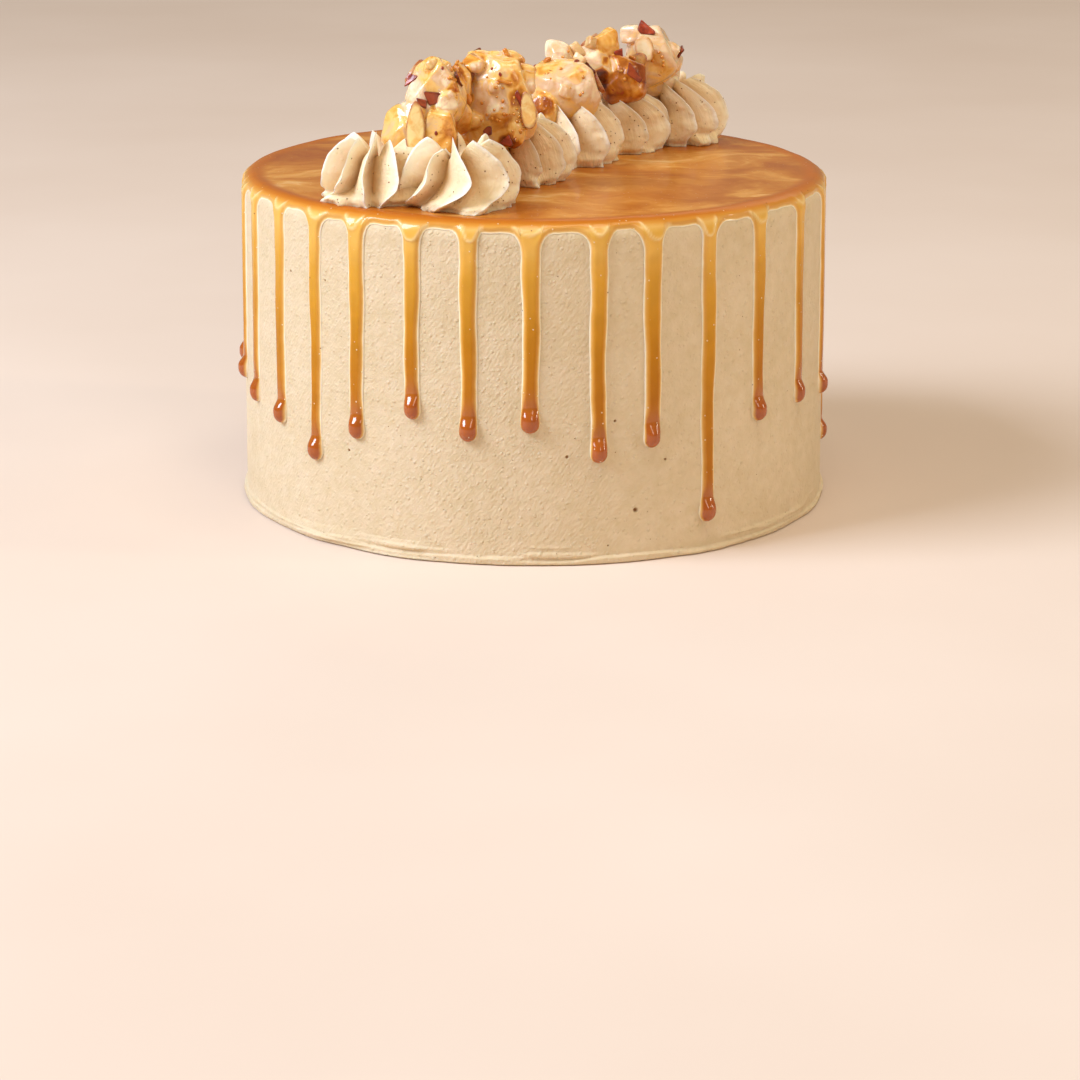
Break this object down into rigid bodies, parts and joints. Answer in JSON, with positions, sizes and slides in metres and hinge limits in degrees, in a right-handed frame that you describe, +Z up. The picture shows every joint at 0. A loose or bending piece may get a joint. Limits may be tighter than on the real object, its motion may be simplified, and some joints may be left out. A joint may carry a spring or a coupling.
{
  "type": "butterscotch drip cake",
  "caption": "Round frosted butterscotch cake with glaze dripping down its side, a diagonal row of piped swirls and almond brittle on top.",
  "frame": {"origin": "centre of the flat underside", "axes": "+Z up, front towards -Y, the row of swirls runs from front left to back right"},
  "size_m": [0.1908, 0.1907, 0.1468],
  "materials": {
    "buttercream": "matte",
    "butterscotch": "glossy",
    "brittle": "glossy"
  },
  "bodies": {
    "root": {"cake": "buttercream", "glaze": "butterscotch", "swirl_1": "buttercream", "swirl_2": "buttercream", "swirl_3": "buttercream", "swirl_4": "buttercream", "swirl_5": "buttercream", "swirl_6": "buttercream", "brittle_1": "brittle", "brittle_2": "brittle", "brittle_3": "brittle", "brittle_4": "brittle", "brittle_5": "brittle"}
  },
  "joints": []
}
